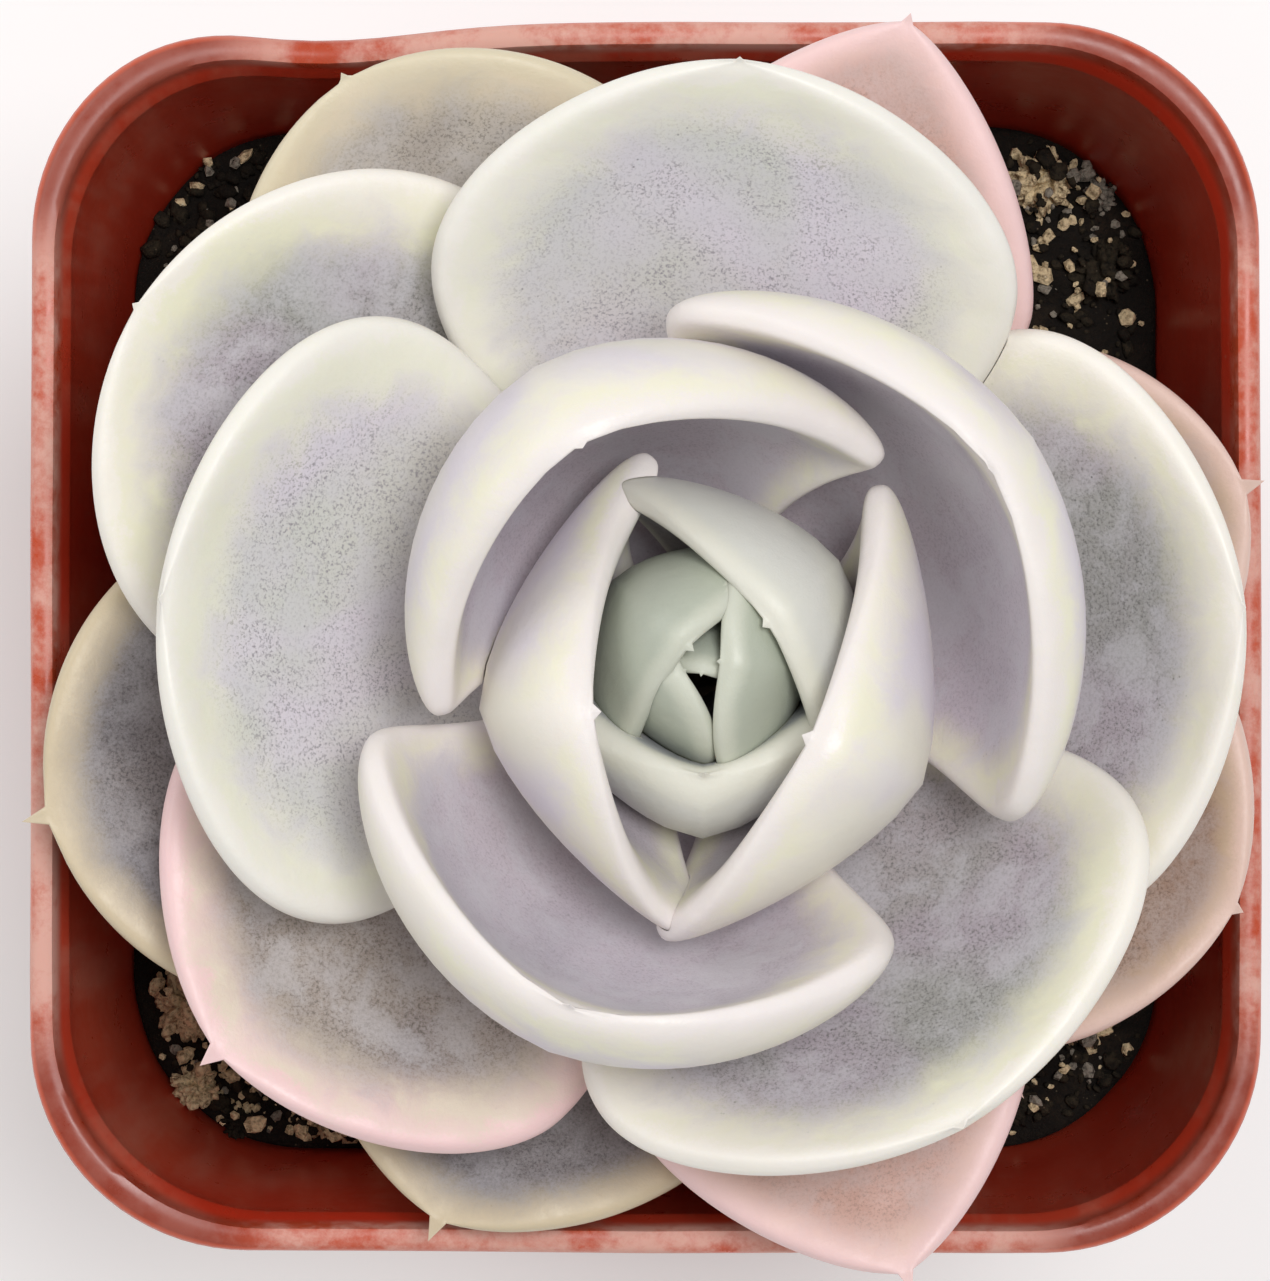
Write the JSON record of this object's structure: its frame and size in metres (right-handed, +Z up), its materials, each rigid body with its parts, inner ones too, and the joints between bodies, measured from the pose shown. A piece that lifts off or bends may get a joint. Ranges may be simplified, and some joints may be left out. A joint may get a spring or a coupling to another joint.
{
  "type": "potted succulent",
  "caption": "Small rosette succulent with thick, pale, spoon-shaped leaves, closed at the centre and open at the outside, growing in a tapered square plastic nursery pot.",
  "frame": {"origin": "middle of the pot's underside, where the pot stands on a table", "axes": "+Z up; X and Y square to the pot's sides"},
  "size_m": [0.07, 0.071, 0.1005],
  "materials": {
    "pot_plastic": "satin",
    "growing_mix": "matte",
    "tan_clod": "matte",
    "dark_clod": "matte",
    "grey_clod": "matte",
    "stem": "matte",
    "inner_leaf": "satin",
    "leaf": "satin",
    "outer_leaf": "satin"
  },
  "bodies": {
    "root": {"pot": "pot_plastic", "growing_mix": "growing_mix", "tan_clod_01": "tan_clod", "tan_clod_02": "tan_clod", "tan_clod_03": "tan_clod", "tan_clod_04": "tan_clod", "tan_clod_05": "tan_clod", "tan_clod_06": "tan_clod", "dark_clod_07": "dark_clod", "dark_clod_08": "dark_clod", "dark_clod_09": "dark_clod", "grey_clod_10": "grey_clod", "grey_clod_11": "grey_clod", "stem": "stem", "leaf_01": "inner_leaf", "leaf_02": "inner_leaf", "leaf_03": "inner_leaf", "leaf_04": "inner_leaf", "leaf_05": "inner_leaf", "leaf_06": "inner_leaf", "leaf_07": "leaf", "leaf_08": "leaf", "leaf_09": "leaf", "leaf_10": "leaf", "leaf_11": "leaf", "leaf_12": "leaf", "leaf_13": "leaf", "leaf_14": "leaf", "leaf_15": "leaf", "leaf_16": "leaf", "leaf_17": "leaf", "leaf_18": "outer_leaf", "leaf_19": "outer_leaf", "leaf_20": "outer_leaf", "leaf_21": "outer_leaf", "leaf_22": "outer_leaf", "leaf_23": "outer_leaf", "leaf_24": "outer_leaf", "leaf_25": "outer_leaf", "leaf_26": "outer_leaf"}
  },
  "joints": []
}
